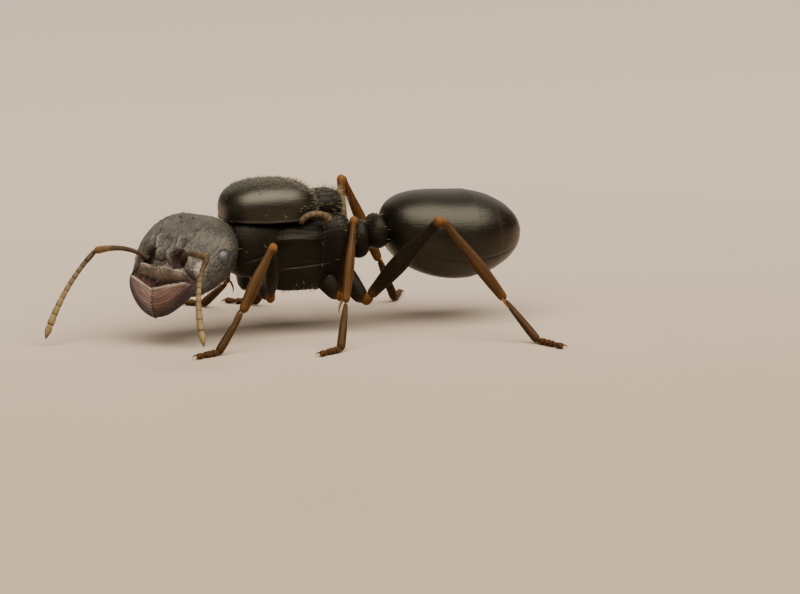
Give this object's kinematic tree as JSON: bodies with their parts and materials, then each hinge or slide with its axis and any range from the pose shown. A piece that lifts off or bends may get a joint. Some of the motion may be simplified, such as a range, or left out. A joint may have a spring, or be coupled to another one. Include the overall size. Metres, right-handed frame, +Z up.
{
  "type": "harvester ant queen",
  "caption": "Life-size still model of a dark, wingless queen ant standing on six legs, head turned to its left, feelers lowered in front.",
  "frame": {"origin": "on the floor, under the middle of the model's box", "axes": "+Z up, the ant faces -X, its left side is toward -Y"},
  "size_m": [0.017, 0.013, 0.0052],
  "materials": {
    "black_shell": "glossy near-black shell with soft blue-grey reflections",
    "dull_shell": "dull finely pitted dark grey-brown shell",
    "jaw_shell": "dark red-brown grooved shell, satin",
    "limb_shell": "brown to orange-brown limbs, satin",
    "eye": "finely faceted dark grey, satin"
  },
  "bodies": {
    "root": {"coxa_fore_left": "dull_shell", "coxa_fore_right": "dull_shell", "coxa_hind_left": "dull_shell", "coxa_hind_right": "dull_shell", "coxa_mid_left": "dull_shell", "coxa_mid_right": "dull_shell", "eye_left": "eye", "eye_right": "eye", "femur_fore_left": "limb_shell", "femur_fore_right": "limb_shell", "femur_hind_left": "limb_shell", "femur_hind_right": "limb_shell", "femur_mid_left": "limb_shell", "femur_mid_right": "limb_shell", "funiculus_left": "limb_shell", "funiculus_right": "limb_shell", "gaster_1": "black_shell", "gaster_2": "black_shell", "gaster_3": "black_shell", "gaster_4": "black_shell", "head": "dull_shell", "mandible_left": "jaw_shell", "mandible_right": "jaw_shell", "mesoscutum": "black_shell", "mesothorax": "black_shell", "neck": "dull_shell", "petiole": "black_shell", "postpetiole": "black_shell", "pronotum": "black_shell", "propodeum": "black_shell", "scape_left": "limb_shell", "scape_right": "limb_shell", "scutellum": "black_shell", "tarsus_fore_left": "limb_shell", "tarsus_fore_right": "limb_shell", "tarsus_hind_left": "limb_shell", "tarsus_hind_right": "limb_shell", "tarsus_mid_left": "limb_shell", "tarsus_mid_right": "limb_shell", "tibia_fore_left": "limb_shell", "tibia_fore_right": "limb_shell", "tibia_hind_left": "limb_shell", "tibia_hind_right": "limb_shell", "tibia_mid_left": "limb_shell", "tibia_mid_right": "limb_shell", "wing_stub_left": "limb_shell", "wing_stub_right": "limb_shell"}
  },
  "joints": []
}
